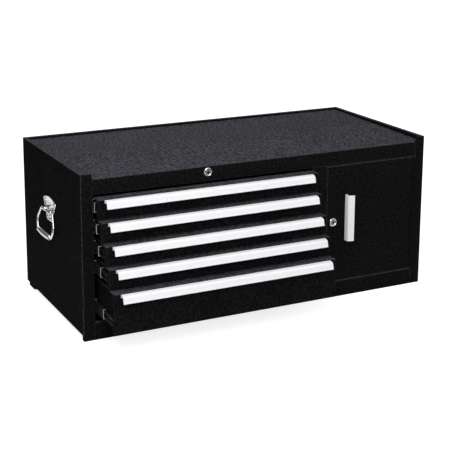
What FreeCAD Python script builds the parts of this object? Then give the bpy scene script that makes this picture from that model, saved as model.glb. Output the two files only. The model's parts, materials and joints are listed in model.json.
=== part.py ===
import FreeCAD, Part
import math
import os

# Five-drawer steel tool chest with one side cabinet on its right.
# Millimetres. The origin is on the floor, at the middle of the case's front edge.
# +X runs to the chest's right, +Y to its back and +Z up, so the drawers pull out along -Y.
# The drawers stand open in steps, one further than the next, as they are at rest.

Vector = FreeCAD.Vector

# The case
case_width = 1000.1
case_depth = 457.2
case_height = 422.3
case_gauge = 1.2
bend_radius = 2.6
base_height = 14.3
base_front_depth = 12.7
base_front_inset = 1.4
base_rear_depth = 47.6
base_rear_inset = 4.8
base_rear_setback = 3.2
rim_height = 12.9
rim_width = 10.0
rim_radius = 1.8
deck_rise = 6.5
stile_width = 31.5
frame_return = 13.0
notch_flat = 27.0
notch_foot = 30.7
top_rail_height = 39.9
bottom_rail_height = 30.7
divider_width = 45.0

# The drawers, from the top one down
drawer_out = [28.3, 50.1, 75.6, 96.1, 124.7]
drawer_front_width = 609.6
drawer_side_gap = 1.4
drawer_pitch = 51.5
drawer_gap = 2.0
first_drawer_gap = 5.7
last_drawer_gap = 9.0
front_ledge_depth = 30.0
front_return = 12.0
front_radius = 2.2
tray_gauge = 1.0
tray_floor_rise = 3.0
tray_side_drop = 8.0
tray_hem = 6.0

# The ball-bearing slides
slide_length = 406.4
slide_height = 35.0
slide_thickness = 12.7
slide_gauge = 1.3
slide_clearance = 0.5
slide_front = 15.0
slide_rise = 24.0
deep_slide_rise = 29.0
slide_travel = 400.0
upright_depth = 30.0
front_upright_place = 20.0
rear_upright_place = 372.0

# The drawn-metal pulls
pull_depth = 20.0
pull_height = 19.0
pull_wall = 1.8
pull_back_height = 8.5
pull_corner_radius = 7.0
pull_shelf_fall = 2.0
pull_lip_lean = 5.0
pull_end_inset = 17.0
pull_drop = 0.8
door_pull_length = 127.0
door_pull_from_edge = 56.0
door_pull_rise = 14.7

# The door and its hinge
door_gap = 1.5
hinge_gap = 2.4
door_depth = 19.0
door_back_return = 10.0
hinge_leaf = 0.9
hinge_leaf_depth = 14.0
hinge_axis_out = 2.5
hinge_knuckle_radius = 2.3
hinge_pin_radius = 1.2
hinge_pin_head = 1.0
hinge_running = 0.05
hinge_segments = 13
hinge_segment_gap = 0.4
hinge_end_inset = 3.0

# The locks
lock_bezel_radius = 11.2
lock_bezel_thickness = 2.4
lock_barrel_radius = 9.5
lock_barrel_length = 24.0
lock_plug_radius = 7.2
lock_running = 0.05
lock_hole_clearance = 0.2
lock_nut_across = 24.0
lock_nut_thickness = 4.0
keyway_width = 1.8
keyway_height = 8.4
keyway_depth = 12.0
lock_plug_sink = 0.4
lock_plug_end = 1.0
lock_tail = 6.0
lock_tail_radius = 4.0
drawer_lock_drop = 16.0
door_lock_from_edge = 20.0
door_lock_rise = 5.5
cam_length = 32.0
cam_width = 13.0
cam_thickness = 2.4

# The rod and bar that lock the drawers from behind, in the space left behind the closed trays
lock_space = 24.8
rod_radius = 3.0
crank_radius = 6.0
crank_width = 9.0
crank_thickness = 2.5
crank_pin_radius = 2.0
crank_pin_end = 1.5
crank_to_bar = 0.6
crank_slot_clearance = 0.3
lock_bar_width = 18.0
lock_bar_thickness = 2.5
lock_bar_setback = 7.5
hook_width = 12.0
hook_thickness = 3.0
catch_clearance = 2.8
catch_gauge = 1.2
catch_drop = 12.0
catch_lip = 8.0
catch_width = 20.0
hook_play = 2.0
hook_clearance = 3.0
guide_gauge = 1.5
guide_height = 12.0
guide_clearance = 0.4

# The swing handles, one on each side
handle_back = 236.0
handle_height = 275.0
plate_gauge = 2.0
plate_top_rise = 37.0
plate_shoulder_half = 50.0
plate_shoulder_rise = 25.0
plate_waist_half = 35.0
plate_bottom_drop = 29.0
plate_bottom_half = 24.0
plate_corner_radius = 4.0
hinge_stand_off = 8.0
barrel_half = 33.0
barrel_radius = 5.6
wire_radius = 3.25
wire_running = 0.05
bail_top_half = 42.0
bail_shoulder_half = 62.0
bail_shoulder_drop = 30.0
bail_knee_half = 62.0
bail_knee_drop = 44.0
bail_grip_half = 53.0
bail_drop = 61.0
bail_bend = 8.0
bail_lean = 8.4
grip_half = 47.0
grip_end_radius = 6.4
grip_middle_radius = 8.6
rivet_radius = 2.4
rivet_head_radius = 4.4
rivet_head_height = 2.2
top_rivet_half = 36.0
top_rivet_rise = 22.0
bottom_rivet_half = 13.0
bottom_rivet_drop = 20.0

# Places that follow from the sizes above
half_width = case_width / 2
deck_top = case_height - rim_height
deck_under = deck_top - case_gauge
floor_top = base_height + case_gauge
opening_top = deck_top - top_rail_height
opening_bottom = base_height + bottom_rail_height
bay_left = -half_width + stile_width
bay_width = drawer_front_width + 2 * drawer_side_gap
bay_right = bay_left + bay_width
bay_middle = (bay_left + bay_right) / 2
divider_left = bay_right
divider_right = divider_left + divider_width
door_opening_right = half_width - stile_width
inner_back = case_depth - case_gauge
first_top = opening_top - first_drawer_gap
tray_length = inner_back - lock_space - case_gauge
catch_reach = lock_space - lock_bar_setback - lock_bar_thickness - catch_clearance
drawer_count = len(drawer_out)
door_left = divider_right + door_gap
door_right = door_opening_right - hinge_gap
door_bottom = opening_bottom + door_gap
door_top = opening_top - door_gap
door_middle = (door_bottom + door_top) / 2
hinge_x = door_opening_right - hinge_gap / 2
hinge_y = -hinge_axis_out
drawer_lock_height = deck_top - drawer_lock_drop
door_lock_x = door_left + door_lock_from_edge
door_lock_height = door_middle + door_lock_rise
through = 1.0


def box(x0, x1, y0, y1, z0, z1):
    """A block between two corners."""
    return Part.makeBox(x1 - x0, y1 - y0, z1 - z0, Vector(x0, y0, z0))


def rod(radius, start, end):
    """A round bar from one point to another."""
    along = end.sub(start)
    return Part.makeCylinder(radius, along.Length, start, along)


def place(a, b, c, plane):
    """Puts a point (a, b) of a flat outline at height c along the outline's own normal."""
    if plane == "xy":
        return Vector(a, b, c)
    if plane == "yz":
        return Vector(c, a, b)
    return Vector(a, c, b)


def normal(plane):
    """The direction that an outline in a plane is drawn out along."""
    return {"xy": Vector(0, 0, 1), "yz": Vector(1, 0, 0), "xz": Vector(0, 1, 0)}[plane]


def rounded(points, radii):
    """The points of an open path, with each inner corner as the start, middle and end of an arc."""
    spans = [[points[0]]]
    for before, corner, after, radius in zip(points, points[1:], points[2:], radii):
        to_before = (before[0] - corner[0], before[1] - corner[1])
        to_after = (after[0] - corner[0], after[1] - corner[1])
        length_before = math.hypot(*to_before)
        length_after = math.hypot(*to_after)
        unit_before = (to_before[0] / length_before, to_before[1] / length_before)
        unit_after = (to_after[0] / length_after, to_after[1] / length_after)
        opening = math.acos(unit_before[0] * unit_after[0] + unit_before[1] * unit_after[1])
        cut = radius / math.tan(opening / 2)
        start = (corner[0] + cut * unit_before[0], corner[1] + cut * unit_before[1])
        end = (corner[0] + cut * unit_after[0], corner[1] + cut * unit_after[1])
        half = (unit_before[0] + unit_after[0], unit_before[1] + unit_after[1])
        half_length = math.hypot(*half)
        inward = radius / math.sin(opening / 2) - radius
        middle = (corner[0] + inward * half[0] / half_length, corner[1] + inward * half[1] / half_length)
        spans.append([start, middle, end])
    spans.append([points[-1]])
    return spans


def path_edges(spans, level, plane):
    """Lines and arcs along a rounded path."""
    edges = []
    for here, after in zip(spans, spans[1:]):
        if len(here) == 3:
            arc = Part.Arc(*[place(a, b, level, plane) for a, b in here])
            edges.append(arc.toShape())
        start = place(*here[-1], level, plane)
        end = place(*after[0], level, plane)
        edges.append(Part.LineSegment(start, end).toShape())
    return edges


def offset_path(points, distance):
    """The path's corners moved sideways, to the left of its direction for a positive distance."""
    units = []
    for here, after in zip(points, points[1:]):
        length = math.hypot(after[0] - here[0], after[1] - here[1])
        units.append(((after[0] - here[0]) / length, (after[1] - here[1]) / length))
    moved = [(points[0][0] - distance * units[0][1], points[0][1] + distance * units[0][0])]
    for corner, one, two in zip(points[1:], units, units[1:]):
        turn = 1 + one[0] * two[0] + one[1] * two[1]
        side = (-(one[1] + two[1]) / turn, (one[0] + two[0]) / turn)
        moved.append((corner[0] + distance * side[0], corner[1] + distance * side[1]))
    last = units[-1]
    moved.append((points[-1][0] - distance * last[1], points[-1][1] + distance * last[0]))
    return moved


def folded(plane, points, gauge, radii, low, high):
    """A sheet folded along a path, its thickness on the left of the path, drawn out from low to high."""
    inner = offset_path(points, gauge)
    inner_radii = []
    for before, corner, after, radius in zip(points, points[1:], points[2:], radii):
        rise, run = corner[1] - before[1], corner[0] - before[0]
        turn = run * (after[1] - corner[1]) - rise * (after[0] - corner[0])
        inner_radii.append(max(radius - gauge, 0.2) if turn > 0 else radius + gauge)
    outer_edges = path_edges(rounded(points, radii), low, plane)
    inner_edges = path_edges(rounded(inner, inner_radii), low, plane)
    ends = [
        Part.LineSegment(place(*points[-1], low, plane), place(*inner[-1], low, plane)).toShape(),
        Part.LineSegment(place(*inner[0], low, plane), place(*points[0], low, plane)).toShape(),
    ]
    edges = outer_edges + [ends[0]] + inner_edges + [ends[1]]
    wire = Part.Wire(Part.__sortEdges__(edges))
    return Part.Face(wire).extrude(normal(plane) * (high - low))


def outline(plane, points, low, high):
    """A block with a straight-sided outline."""
    corners = [place(a, b, low, plane) for a, b in points]
    face = Part.Face(Part.makePolygon(corners + corners[:1]))
    return face.extrude(normal(plane) * (high - low))


def joined(shapes):
    """One solid made of several that share faces or overlap."""
    return shapes[0].fuse(shapes[1:]).removeSplitter()


def mirrored(shape):
    """The same piece on the other side of the chest's middle."""
    return shape.mirror(Vector(0, 0, 0), Vector(1, 0, 0))


def drawer_top(index):
    """The height of a drawer front's top edge."""
    return first_top - index * drawer_pitch


def drawer_bottom(index):
    """The height of a drawer front's bottom edge: the lowest drawer is the deep one."""
    if index == drawer_count - 1:
        return opening_bottom + last_drawer_gap
    return drawer_top(index + 1) + drawer_gap


def slide_centre(index):
    """The height of the middle of a drawer's slides."""
    rise = deep_slide_rise if index == drawer_count - 1 else slide_rise
    return drawer_bottom(index) + rise


def deck_height(back):
    """The height of the deck's top face: it rises a little towards the back."""
    return deck_top + deck_rise * back / inner_back


def deck_underside(back):
    """The height of the deck's lower face."""
    return deck_height(back) - case_gauge / math.cos(math.atan2(deck_rise, inner_back))


def below_deck(low, high):
    """Everything under the deck's top face between two sides in X."""
    front, back = -through, case_depth + through
    points = [(front, 0), (back, 0), (back, deck_height(back)), (front, deck_height(front))]
    return outline("yz", points, low, high)


def side_panel():
    """The left side: an outer wall folded round into the front stile, with a hemmed rim on top."""
    left = -half_width
    wall = [(left, case_depth), (left, 0), (left + stile_width, 0)]
    with_return = wall + [(left + stile_width, frame_return)]
    middle = folded("xy", with_return, case_gauge, [bend_radius, bend_radius], floor_top, deck_under)
    foot = folded("xy", wall, case_gauge, [bend_radius], base_height, floor_top)
    head = folded("xy", wall, case_gauge, [bend_radius], deck_under, case_height)
    notch = [
        (left + notch_flat, case_height + through),
        (left + notch_flat, case_height),
        (left + notch_foot, deck_top),
        (left + stile_width + through, deck_top),
        (left + stile_width + through, case_height + through),
    ]
    head = head.cut(outline("xz", notch, -through, bend_radius))
    outer, inner = left - through, left + bend_radius
    behind = box(outer, inner, bend_radius, case_depth + through, deck_top, case_height + through)
    head = head.cut(behind)
    hem_path = [
        (left + rim_width, deck_top),
        (left + rim_width, case_height),
        (left, case_height),
        (left, deck_top),
    ]
    hem = folded("xz", hem_path, case_gauge, [rim_radius, rim_radius], bend_radius, case_depth)
    hem = hem.cut(below_deck(left + case_gauge, left + rim_width + through))
    return joined([middle, foot, head, hem])


def back_panel():
    """The back sheet between the sides, with the same hemmed rim."""
    edge = half_width - case_gauge
    sheet = box(-edge, edge, inner_back, case_depth, base_height, deck_top)
    rim_end = half_width - rim_width
    hem_path = [
        (case_depth, deck_top),
        (case_depth, case_height),
        (case_depth - rim_width, case_height),
        (case_depth - rim_width, deck_height(case_depth - rim_width + case_gauge)),
    ]
    hem = folded("yz", hem_path, case_gauge, [rim_radius, rim_radius], -rim_end, rim_end)
    return joined([sheet, hem])


def front_corners(low, high):
    """The two corners that a sheet leaves free for the bend of the side panels."""
    outer = half_width
    inner = half_width - bend_radius
    return [
        box(-outer, -inner, 0, bend_radius, low, high),
        box(inner, outer, 0, bend_radius, low, high),
    ]


def bottom_panel():
    """The floor sheet of the case."""
    edge = half_width - case_gauge
    sheet = box(-edge, edge, case_gauge, inner_back, base_height, floor_top)
    return sheet.cut(front_corners(base_height, floor_top))


def top_panel():
    """The top sheet, folded down in front into the rail that carries the drawer lock."""
    edge = half_width - case_gauge
    rail_end = half_width - stile_width
    beyond = inner_back + through
    deck_path = [(beyond, deck_height(beyond)), (0, deck_top)]
    rail_path = deck_path + [(0, opening_top), (frame_return, opening_top)]
    sheets = [folded("yz", rail_path, case_gauge, [bend_radius, bend_radius], -rail_end, rail_end)]
    for low, high in ((-edge, -rail_end), (rail_end, edge)):
        sheets.append(folded("yz", deck_path, case_gauge, [], low, high))
    sheet = joined(sheets)
    stile_space = [
        box(-edge, -rail_end, -through, case_gauge, opening_top, case_height),
        box(rail_end, edge, -through, case_gauge, opening_top, case_height),
    ]
    behind = box(-half_width, half_width, inner_back, beyond + through, opening_top, case_height)
    sheet = sheet.cut(stile_space + front_corners(opening_top, case_height) + [behind])
    hole = lock_barrel_radius + lock_hole_clearance
    front = Vector(bay_middle, -through, drawer_lock_height)
    bore = rod(hole, front, Vector(bay_middle, case_gauge + through, drawer_lock_height))
    return sheet.cut(bore)


def front_bottom_rail():
    """The rail under the drawers and the door."""
    rail_end = half_width - stile_width
    path = [(frame_return, opening_bottom), (0, opening_bottom), (0, base_height)]
    return folded("yz", path, case_gauge, [bend_radius], -rail_end, rail_end)


def divider_stile():
    """The upright between the drawers and the door."""
    path = [
        (divider_left, frame_return),
        (divider_left, 0),
        (divider_right, 0),
        (divider_right, frame_return),
    ]
    return folded("xy", path, case_gauge, [bend_radius, bend_radius], opening_bottom, opening_top)


def divider_panel():
    """The wall between the drawers and the side cabinet, which carries the right-hand slides."""
    points = [
        (frame_return, floor_top),
        (inner_back, floor_top),
        (inner_back, deck_underside(inner_back)),
        (frame_return, deck_underside(frame_return)),
    ]
    return outline("yz", points, divider_left, divider_left + case_gauge)


def base_front_rail():
    """The low skirt that the front stands on."""
    end = half_width - base_front_inset
    return box(-end, end, 0, base_front_depth, 0, base_height)


def base_rear_rail():
    """The channel that the back stands on."""
    end = half_width - base_rear_inset
    back = case_depth - base_rear_setback
    front = back - base_rear_depth
    path = [(front, base_height), (front, 0), (back, 0), (back, base_height)]
    return folded("yz", path, case_gauge, [bend_radius, bend_radius], -end, end)


def slide_uprights():
    """Two channels that bring the left side out to the stile's edge, for the left-hand slides."""
    wall = -half_width + case_gauge
    channels = []
    for front in (front_upright_place, rear_upright_place):
        back = front + upright_depth
        path = [(wall, front), (bay_left, front), (bay_left, back), (wall, back)]
        channels.append(folded("xy", path, case_gauge, [bend_radius, bend_radius], floor_top, deck_under))
    return channels


def channel(near, far, half_height, front, back, height, web_near):
    """A slide member: a channel lying along Y, its web at the near or the far side in X."""
    low, high = min(near, far), max(near, far)
    sign = 1 if far > near else -1
    block = box(low, high, front, back, height - half_height, height + half_height)
    inner_near = near + sign * slide_gauge if web_near else near - sign * through
    inner_far = far + sign * through if web_near else far - sign * slide_gauge
    hollow = box(
        min(inner_near, inner_far),
        max(inner_near, inner_far),
        front - through,
        back + through,
        height - half_height + slide_gauge,
        height + half_height - slide_gauge,
    )
    return block.cut(hollow)


def slide_pair(index, member):
    """A left and a right member of one drawer's slides, at the drawer's place at rest."""
    height = slide_centre(index)
    half_outer = slide_height / 2
    step = slide_gauge + slide_clearance
    half_middle = half_outer - step
    half_inner = half_middle - step
    shift = {"case": 0.0, "middle": drawer_out[index] / 2, "drawer": drawer_out[index]}[member]
    front = slide_front - shift
    back = front + slide_length
    pair = []
    for wall, sign in ((bay_left, 1), (bay_right, -1)):
        drawer_face = wall + sign * slide_thickness
        web = drawer_face - sign * slide_gauge
        if member == "case":
            far = web - sign * slide_clearance
            pair.append(channel(wall, far, half_outer, front, back, height, True))
        elif member == "middle":
            near = wall + sign * step
            far = web - sign * slide_clearance
            pair.append(channel(near, far, half_middle, front, back, height, True))
        else:
            near = wall + sign * (2 * step)
            pair.append(channel(near, drawer_face, half_inner, front, back, height, False))
    return pair


def drawer_front(index):
    """A drawer's face, with a deep ledge along the top and short returns at the ends and below."""
    face = -drawer_out[index]
    top = drawer_top(index)
    bottom = drawer_bottom(index)
    left = bay_left + drawer_side_gap
    right = bay_right - drawer_side_gap
    path = [
        (face + front_ledge_depth, top),
        (face, top),
        (face, bottom),
        (face + front_return, bottom),
    ]
    sheet = folded("yz", path, case_gauge, [front_radius, front_radius], left, right)
    outer_face = face + case_gauge
    bend_back = face + front_radius
    return_back = face + front_return
    low, high = bottom + front_radius, top - front_radius
    ends = []
    for x in (left, right - case_gauge):
        beyond = x + case_gauge
        ends.append(box(x, beyond, outer_face, return_back, low, high))
        ends.append(box(x, beyond, bend_back, return_back, high, top - case_gauge))
        ends.append(box(x, beyond, bend_back, return_back, bottom + case_gauge, low))
    return joined([sheet] + ends)


def drawer_tray(index):
    """A drawer's tray: an open box with hemmed sides, and the catch on its back for the lock bar."""
    face = -drawer_out[index]
    left = bay_left + slide_thickness
    right = bay_right - slide_thickness
    front = face + case_gauge
    back = face + case_gauge + tray_length
    bottom = drawer_bottom(index) + tray_floor_rise
    top = drawer_top(index) - tray_side_drop
    ledge_back = face + front_ledge_depth
    block = box(left, right, front, back, bottom, top)
    hollow = box(
        left + tray_gauge,
        right - tray_gauge,
        ledge_back,
        back - tray_gauge,
        bottom + tray_gauge,
        top + through,
    )
    front_space = box(
        left + tray_gauge,
        right - tray_gauge,
        front - through,
        ledge_back - tray_gauge,
        bottom + tray_gauge,
        top + through,
    )
    tray = block.cut(hollow).cut(front_space)
    inner_wall = box(
        left,
        right,
        ledge_back - tray_gauge,
        ledge_back,
        bottom,
        drawer_top(index) - case_gauge,
    )
    hem_low = top - tray_gauge
    hems = [
        box(left, left + tray_hem, ledge_back, back, hem_low, top),
        box(right - tray_hem, right, ledge_back, back, hem_low, top),
        box(left, right, back - tray_hem, back, hem_low, top),
    ]
    return joined([tray, inner_wall] + hems + catch(index, back))


def catch(index, back):
    """The tab on a tray's back that the lock bar hooks."""
    top = drawer_top(index) - catch_drop
    left = lock_bar_middle() - catch_width / 2
    right = left + catch_width
    shelf = box(left, right, back, back + catch_reach, top - catch_gauge, top)
    lip_back = back + catch_reach
    lip = box(left, right, lip_back - catch_gauge, lip_back, top - catch_lip, top)
    return [shelf, lip]


def pull_path(depth_sign):
    """The pull's section from its back flange, over the shelf and down the lip, as out and up."""
    lip_foot = pull_depth
    lip_head = pull_depth - pull_lip_lean
    points = [
        (0, -pull_back_height),
        (0, 0),
        (lip_head, -pull_shelf_fall),
        (lip_foot, -pull_height),
    ]
    return [(depth_sign * out, up) for out, up in points]


def pull_radii():
    """The bends of the pull's section: a sharp one at the face and the round one over the lip."""
    return [pull_wall + 0.2, pull_corner_radius]


def drawer_pull(index):
    """The full-width pull of one drawer."""
    face = -drawer_out[index]
    top = drawer_top(index) - pull_drop
    left = bay_left + drawer_side_gap + pull_end_inset
    right = bay_right - drawer_side_gap - pull_end_inset
    points = [(face + a, top + b) for a, b in pull_path(-1)]
    return folded("yz", points, pull_wall, pull_radii(), left, right)


def door_pull():
    """The door's short upright pull: the same section, its shelf towards the drawers."""
    shelf_x = door_left + door_pull_from_edge
    middle = door_middle + door_pull_rise
    points = [(shelf_x - up, out) for out, up in pull_path(-1)]
    low = middle - door_pull_length / 2
    return folded("xy", points, pull_wall, pull_radii(), low, low + door_pull_length)


def door_skin():
    """The door's outer pan, with the hole for its lock."""
    block = box(door_left, door_right, 0, door_depth, door_bottom, door_top)
    fold_edges = []
    for edge in block.Edges:
        box_of = edge.BoundBox
        if box_of.YMax < case_gauge and box_of.YMin > -case_gauge:
            fold_edges.append(edge)
    outer = block.makeFillet(front_radius, fold_edges)
    hollow = box(
        door_left + case_gauge,
        door_right - case_gauge,
        case_gauge,
        door_depth + through,
        door_bottom + case_gauge,
        door_top - case_gauge,
    )
    bore = rod(
        lock_barrel_radius + lock_hole_clearance,
        Vector(door_lock_x, -through, door_lock_height),
        Vector(door_lock_x, case_gauge + through, door_lock_height),
    )
    return outer.cut(hollow).cut(bore)


def door_back():
    """The door's inner sheet, which closes the pan and stiffens it."""
    left = door_left + case_gauge
    right = door_right - case_gauge
    low = door_bottom + case_gauge
    high = door_top - case_gauge
    sheet = box(left, right, door_depth - case_gauge, door_depth, low, high)
    frame = box(left, right, door_depth - door_back_return, door_depth, low, high)
    frame = frame.cut(
        box(
            left + case_gauge,
            right - case_gauge,
            door_depth - door_back_return - through,
            door_depth - case_gauge,
            low + case_gauge,
            high - case_gauge,
        )
    )
    bore = rod(
        lock_nut_across / 2 + 1.5,
        Vector(door_lock_x, door_depth - door_back_return - through, door_lock_height),
        Vector(door_lock_x, door_depth + through, door_lock_height),
    )
    return joined([sheet, frame]).cut(bore)


def hinge_spans():
    """The height ranges of the hinge's knuckles, from the bottom."""
    low = door_bottom + hinge_end_inset
    high = door_top - hinge_end_inset
    step = (high - low) / hinge_segments
    spans = []
    for number in range(hinge_segments):
        start = low + number * step
        spans.append((start + hinge_segment_gap / 2, start + step - hinge_segment_gap / 2))
    return spans


def hinge_half(on_case):
    """One leaf of the long hinge with its knuckles: every other one, the end ones on the case's leaf."""
    sign = 1 if on_case else -1
    face = door_opening_right if on_case else door_right
    near, far = sorted((face, face - sign * hinge_leaf))
    spans = hinge_spans()
    leaf_front = hinge_y + hinge_knuckle_radius + 0.3
    leaf = box(near, far, leaf_front, hinge_leaf_depth, spans[0][0], spans[-1][1])
    neck_front = hinge_y + (hinge_pin_radius + hinge_knuckle_radius) / 2
    parts = [leaf]
    for low, high in spans[0 if on_case else 1 :: 2]:
        knuckle = rod(hinge_knuckle_radius, Vector(hinge_x, hinge_y, low), Vector(hinge_x, hinge_y, high))
        neck = box(near, far, neck_front, leaf_front, low, high)
        parts += [knuckle, neck]
    bore_radius = hinge_pin_radius + hinge_running
    bore = rod(
        bore_radius,
        Vector(hinge_x, hinge_y, door_bottom - through),
        Vector(hinge_x, hinge_y, door_top + through),
    )
    return joined(parts).cut(bore)


def hinge_pin():
    """The wire through all the knuckles, headed over at both ends."""
    spans = hinge_spans()
    low, high = spans[0][0], spans[-1][1]
    lowest, highest = low - hinge_pin_head, high + hinge_pin_head
    wire = rod(hinge_pin_radius, Vector(hinge_x, hinge_y, lowest), Vector(hinge_x, hinge_y, highest))
    head_radius = (hinge_pin_radius + hinge_knuckle_radius) / 2
    foot = rod(head_radius, Vector(hinge_x, hinge_y, lowest), Vector(hinge_x, hinge_y, low))
    head = rod(head_radius, Vector(hinge_x, hinge_y, high), Vector(hinge_x, hinge_y, highest))
    return joined([wire, foot, head])


def lock_barrel(x, height):
    """A lock's fixed barrel with its bezel in front, and the nut that clamps it from behind."""
    start = Vector(x, 0, height)
    end = Vector(x, lock_barrel_length, height)
    bezel = rod(lock_bezel_radius, Vector(x, -lock_bezel_thickness, height), start)
    rim = [edge for edge in bezel.Edges if edge.BoundBox.YMax < -lock_bezel_thickness / 2]
    bezel = bezel.makeFillet(lock_bezel_thickness / 2, rim)
    body = joined([bezel, rod(lock_barrel_radius, start, end)])
    bore = rod(
        lock_plug_radius + lock_running,
        Vector(x, -lock_bezel_thickness - through, height),
        Vector(x, lock_barrel_length + through, height),
    )
    corner = lock_nut_across / 2 / math.cos(math.pi / 6)
    corners = []
    for number in range(6):
        angle = number * math.pi / 3
        corners.append((x + corner * math.cos(angle), height + corner * math.sin(angle)))
    nut = outline("xz", corners, case_gauge, case_gauge + lock_nut_thickness)
    nut_bore = rod(lock_barrel_radius, Vector(x, 0, height), Vector(x, lock_barrel_length, height))
    return [body.cut(bore), nut.cut(nut_bore)]


def lock_plug(x, height):
    """A lock's turning plug, with its keyway in front and a tail behind."""
    front = lock_plug_sink - lock_bezel_thickness
    plug_end = lock_barrel_length + lock_plug_end
    body = rod(lock_plug_radius, Vector(x, front, height), Vector(x, plug_end, height))
    tail_end = plug_end + lock_tail
    tail = rod(lock_tail_radius, Vector(x, lock_barrel_length, height), Vector(x, tail_end, height))
    keyway = box(
        x - keyway_width / 2,
        x + keyway_width / 2,
        front - through,
        front + keyway_depth,
        height - keyway_height / 2,
        height + keyway_height / 2,
    )
    return joined([body, tail]).cut(keyway)


def door_lock_cam():
    """The door lock's tongue, which hangs down while the lock is open."""
    x = door_lock_x
    front = lock_barrel_length + lock_plug_end
    back = front + cam_thickness
    half = cam_width / 2
    foot_height = door_lock_height - cam_length + half
    bar = box(x - half, x + half, front, back, foot_height, door_lock_height)
    root = rod(half, Vector(x, front, door_lock_height), Vector(x, back, door_lock_height))
    foot = rod(half, Vector(x, front, foot_height), Vector(x, back, foot_height))
    hole_start = Vector(x, front - through, door_lock_height)
    hole = rod(lock_tail_radius, hole_start, Vector(x, back + through, door_lock_height))
    return joined([bar, root, foot]).cut(hole)


def lock_bar_middle():
    """The lock bar stands where the crank's pin is while the lock is open or shut."""
    return bay_middle + crank_radius * math.cos(math.pi / 4)


def lock_bar_front():
    """The lock bar's front face, a little ahead of the back panel."""
    return inner_back - lock_bar_setback - lock_bar_thickness


def crank_pin_height():
    """The crank's pin hangs at 45 degrees below the rod while the lock is open."""
    return drawer_lock_height - crank_radius * math.sin(math.pi / 4)


def drawer_lock_rod():
    """The long rod from the drawer lock to the back, with a crank and pin that lift the lock bar."""
    axis_x, axis_z = bay_middle, drawer_lock_height
    pin_x, pin_z = lock_bar_middle(), crank_pin_height()
    crank_back = lock_bar_front() - crank_to_bar
    crank_front = crank_back - crank_thickness
    front = lock_barrel_length + lock_plug_end + lock_tail
    shaft = rod(rod_radius, Vector(axis_x, front, axis_z), Vector(axis_x, crank_back, axis_z))
    boss = rod(crank_width / 2, Vector(axis_x, crank_front, axis_z), Vector(axis_x, crank_back, axis_z))
    eye = rod(crank_width / 2, Vector(pin_x, crank_front, pin_z), Vector(pin_x, crank_back, pin_z))
    pin_end = lock_bar_front() + lock_bar_thickness + crank_pin_end
    pin = rod(crank_pin_radius, Vector(pin_x, crank_front, pin_z), Vector(pin_x, pin_end, pin_z))
    return joined([shaft, boss, eye, pin])


def hook_heights(index):
    """The top of a hook's finger while the lock is open, and of the arm that it stands on."""
    lip_bottom = drawer_top(index) - catch_drop - catch_lip
    finger_top = lip_bottom - hook_clearance
    return finger_top, finger_top - hook_thickness


def lock_bar_hooks():
    """The hooks on the lock bar, one for each drawer, each an arm with a finger standing on its end."""
    middle = lock_bar_middle()
    left, right = middle - hook_width / 2, middle + hook_width / 2
    closed_back = case_gauge + tray_length
    lip_front = closed_back + catch_reach - catch_gauge
    finger_back = lip_front - hook_play
    finger_front = finger_back - hook_thickness
    hooks = []
    for index in range(drawer_count):
        finger_top, arm_top = hook_heights(index)
        arm = box(left, right, finger_front, lock_bar_front(), arm_top - hook_thickness, arm_top)
        finger = box(left, right, finger_front, finger_back, arm_top, finger_top)
        hooks.append(joined([arm, finger]))
    return hooks


def lock_bar():
    """The upright bar behind the drawers, with a slot for the crank's pin."""
    middle = lock_bar_middle()
    front = lock_bar_front()
    back = front + lock_bar_thickness
    lowest = hook_heights(drawer_count - 1)[1] - 2 * hook_thickness
    highest = crank_pin_height() + lock_bar_width / 2
    half = lock_bar_width / 2
    bar = box(middle - half, middle + half, front, back, lowest, highest)
    slot_half = crank_pin_radius + crank_radius * (1 - math.cos(math.pi / 4)) + crank_slot_clearance
    slot_rise = crank_pin_radius + crank_slot_clearance
    low, high = crank_pin_height() - slot_rise, crank_pin_height() + slot_rise
    slot = box(middle - slot_half, middle + slot_half, front - through, back + through, low, high)
    return bar.cut(slot)


def lock_bar_guides():
    """Straps on the back panel that the lock bar slides in, above the second and the last drawer's catch."""
    middle = lock_bar_middle()
    front = lock_bar_front() - guide_clearance
    half = lock_bar_width / 2 + guide_clearance
    straps = []
    for index in (1, drawer_count - 1):
        low = drawer_top(index) + drawer_gap
        high = low + guide_height
        outer_half = half + guide_gauge
        outer = box(middle - outer_half, middle + outer_half, front - guide_gauge, inner_back, low, high)
        inner = box(middle - half, middle + half, front, inner_back + through, low - through, high + through)
        straps.append(outer.cut(inner))
    return straps


def side_plane(distance):
    """The X of a plane that stands off the left side by a distance."""
    return -half_width - distance


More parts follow.
